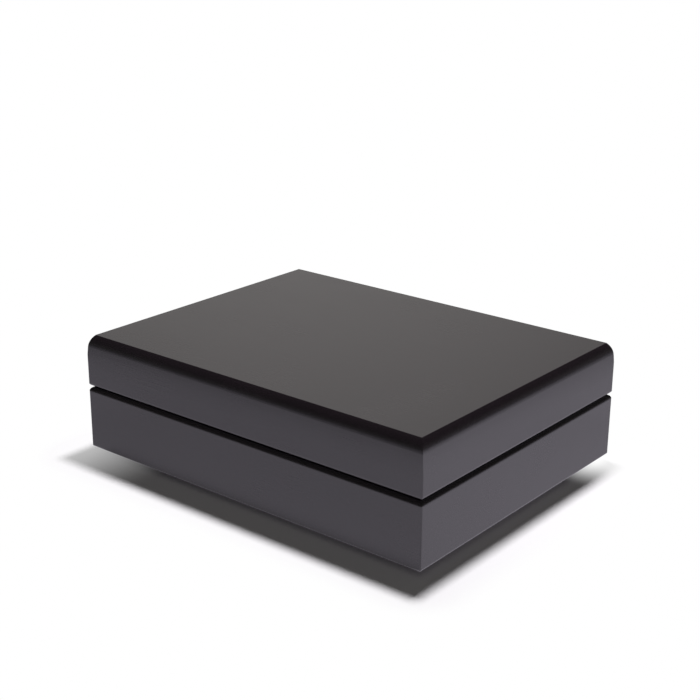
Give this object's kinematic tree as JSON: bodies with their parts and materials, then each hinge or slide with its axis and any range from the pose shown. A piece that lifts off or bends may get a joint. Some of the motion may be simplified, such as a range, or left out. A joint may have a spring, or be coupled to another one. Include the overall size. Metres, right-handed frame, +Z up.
{
  "type": "bullion bar case",
  "caption": "Lacquered presentation box with a hinged lid, a padded lid lining and a velvet tray with a window and finger notches for a bullion bar.",
  "frame": {"origin": "middle of the footprint, on the surface that the feet stand on", "axes": "+X along the long side, front (opening side) faces -Y, hinges on the +Y side, +Z up"},
  "size_m": [0.15, 0.1172, 0.046],
  "materials": {
    "black_lacquer": "satin black lacquer on fibreboard",
    "lining_velvet": "black velvet",
    "lid_satin": "padded ivory satin",
    "ribbon_satin": "black satin",
    "card": "grey board",
    "foam": "open foam",
    "brass": "polished brass",
    "magnet_nickel": "nickel plate",
    "foot_rubber": "matt"
  },
  "bodies": {
    "base": {"base_front_rail": "black_lacquer", "base_back_rail": "black_lacquer", "base_left_rail": "black_lacquer", "base_right_rail": "black_lacquer", "base_bottom_panel": "black_lacquer", "lip_front": "lining_velvet", "lip_back": "lining_velvet", "lip_left": "lining_velvet", "lip_right": "lining_velvet", "base_magnets": "magnet_nickel", "hinge_left_base_leaf": "brass", "hinge_right_base_leaf": "brass", "hinge_left_pin": "brass", "hinge_right_pin": "brass", "base_hinge_screws": "brass", "tray_foam": "foam", "bar_tray": "lining_velvet", "recess_pad": "lining_velvet", "lift_ribbon": "ribbon_satin", "rubber_feet": "foot_rubber"},
    "lid": {"lid_top_panel": "black_lacquer", "lid_front_rail": "black_lacquer", "lid_back_rail": "black_lacquer", "lid_left_rail": "black_lacquer", "lid_right_rail": "black_lacquer", "lid_pad_board": "card", "lid_pad": "lid_satin", "lid_magnets": "magnet_nickel", "hinge_left_lid_leaf": "brass", "hinge_right_lid_leaf": "brass", "lid_hinge_screws": "brass"}
  },
  "joints": [
    {"name": "lid_hinge", "type": "hinge", "parent": "base", "child": "lid", "pos_m": [0, 0.0572, 0.02645], "axis": [-1, 0, 0], "range_deg": [0, 95]}
  ]
}
